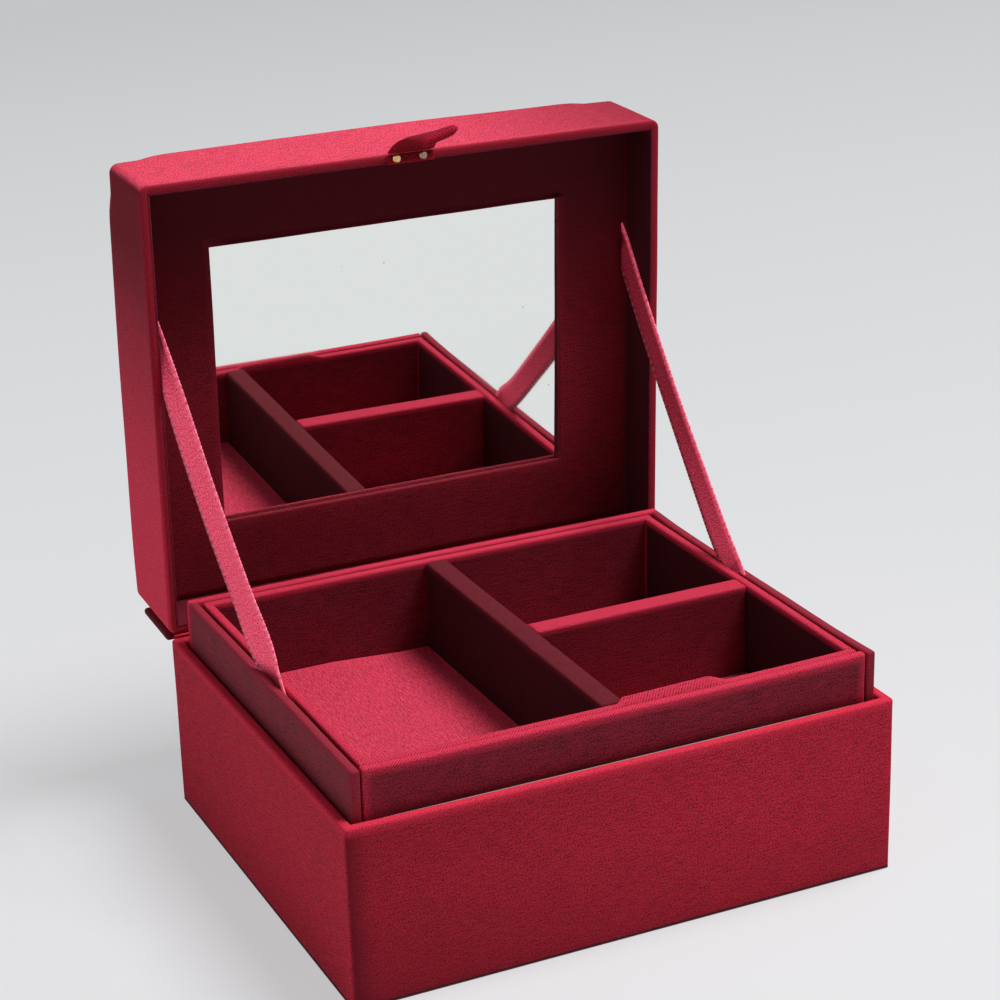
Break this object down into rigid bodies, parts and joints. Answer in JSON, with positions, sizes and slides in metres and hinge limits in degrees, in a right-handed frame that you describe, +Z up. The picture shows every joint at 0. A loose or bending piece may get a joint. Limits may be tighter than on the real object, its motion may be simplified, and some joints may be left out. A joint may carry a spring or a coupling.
{
  "type": "vanity box with mirror",
  "caption": "Cloth-covered vanity box with a padded hinged lid, framed mirror, raised collar, divided lift-out tray, stay ribbons and a pull tab.",
  "frame": {"origin": "middle of the flat underside, on the surface that the box stands on", "axes": "+Z up, +X to the right as seen from the front, +Y from the front towards the hinge; the lid is stored open"},
  "size_m": [0.22, 0.2323, 0.2698],
  "materials": {
    "crimson_cover_cloth": "satin",
    "crimson_lining_cloth": "satin",
    "rose_floor_cloth": "satin",
    "velvet_ribbon": "satin",
    "tab_cloth": "satin",
    "greyboard": "matte",
    "sole_sheet": "matte",
    "foam_pad": "matte",
    "mirror_glass": "polished",
    "brass_tacks": "satin"
  },
  "bodies": {
    "base": {"base_sole": "sole_sheet", "base_bottom_board": "greyboard", "base_wall_front": "greyboard", "base_wall_back": "greyboard", "base_wall_left": "greyboard", "base_wall_right": "greyboard", "base_cover_cloth": "crimson_cover_cloth", "base_floor_lining": "rose_floor_cloth", "collar_front": "crimson_lining_cloth", "collar_back": "crimson_lining_cloth", "collar_left": "crimson_lining_cloth", "collar_right": "crimson_lining_cloth", "tray_rest_front": "crimson_lining_cloth", "tray_rest_back": "crimson_lining_cloth", "tray_rest_left": "crimson_lining_cloth", "tray_rest_right": "crimson_lining_cloth", "hinge_cloth": "crimson_cover_cloth", "ribbon_left_low_end": "velvet_ribbon", "stay_ribbon_left": "velvet_ribbon", "ribbon_right_low_end": "velvet_ribbon", "stay_ribbon_right": "velvet_ribbon"},
    "tray": {"tray_bottom_board": "greyboard", "tray_wall_front": "crimson_lining_cloth", "tray_wall_back": "crimson_lining_cloth", "tray_wall_left": "crimson_lining_cloth", "tray_wall_right": "crimson_lining_cloth", "long_divider": "crimson_lining_cloth", "cross_divider": "crimson_lining_cloth", "tray_card_left": "rose_floor_cloth", "tray_card_back": "rose_floor_cloth", "tray_card_front": "rose_floor_cloth"},
    "lid": {"lid_wall_front": "greyboard", "lid_wall_back": "greyboard", "lid_wall_left": "greyboard", "lid_wall_right": "greyboard", "lid_lining_front": "crimson_lining_cloth", "lid_lining_back": "crimson_lining_cloth", "lid_lining_left": "crimson_lining_cloth", "lid_lining_right": "crimson_lining_cloth", "lid_top_board": "greyboard", "lid_padding": "foam_pad", "lid_top_cloth": "crimson_cover_cloth", "lid_side_cloth": "crimson_cover_cloth", "mirror_frame": "crimson_lining_cloth", "mirror_glass": "mirror_glass", "mirror_backing_card": "greyboard", "mirror_spacers": "greyboard", "hinge_leaf": "crimson_cover_cloth", "ribbon_left_high_end": "velvet_ribbon", "ribbon_right_high_end": "velvet_ribbon", "tab_tape": "tab_cloth", "tab_tacks": "brass_tacks"},
    "tab": {"pull_tab": "tab_cloth"}
  },
  "joints": [
    {"name": "lid_hinge", "type": "hinge", "parent": "base", "child": "lid", "pos_m": [0, 0.092, 0.0712], "axis": [-1, 0, 0], "range_deg": [-88.3, 0], "deforming": ["stay_ribbon_left", "stay_ribbon_right"]},
    {"name": "tray_lift", "type": "slide", "parent": "base", "child": "tray", "axis": [0, 0, 1], "range_m": [0, 0.08]},
    {"name": "pull_tab_flex", "type": "hinge", "parent": "lid", "child": "tab", "pos_m": [0, 0.08692, 0.25603], "axis": [-1, 0, 0], "range_deg": [-10, 45], "stiffness_Nm_per_rad": 0.02}
  ]
}
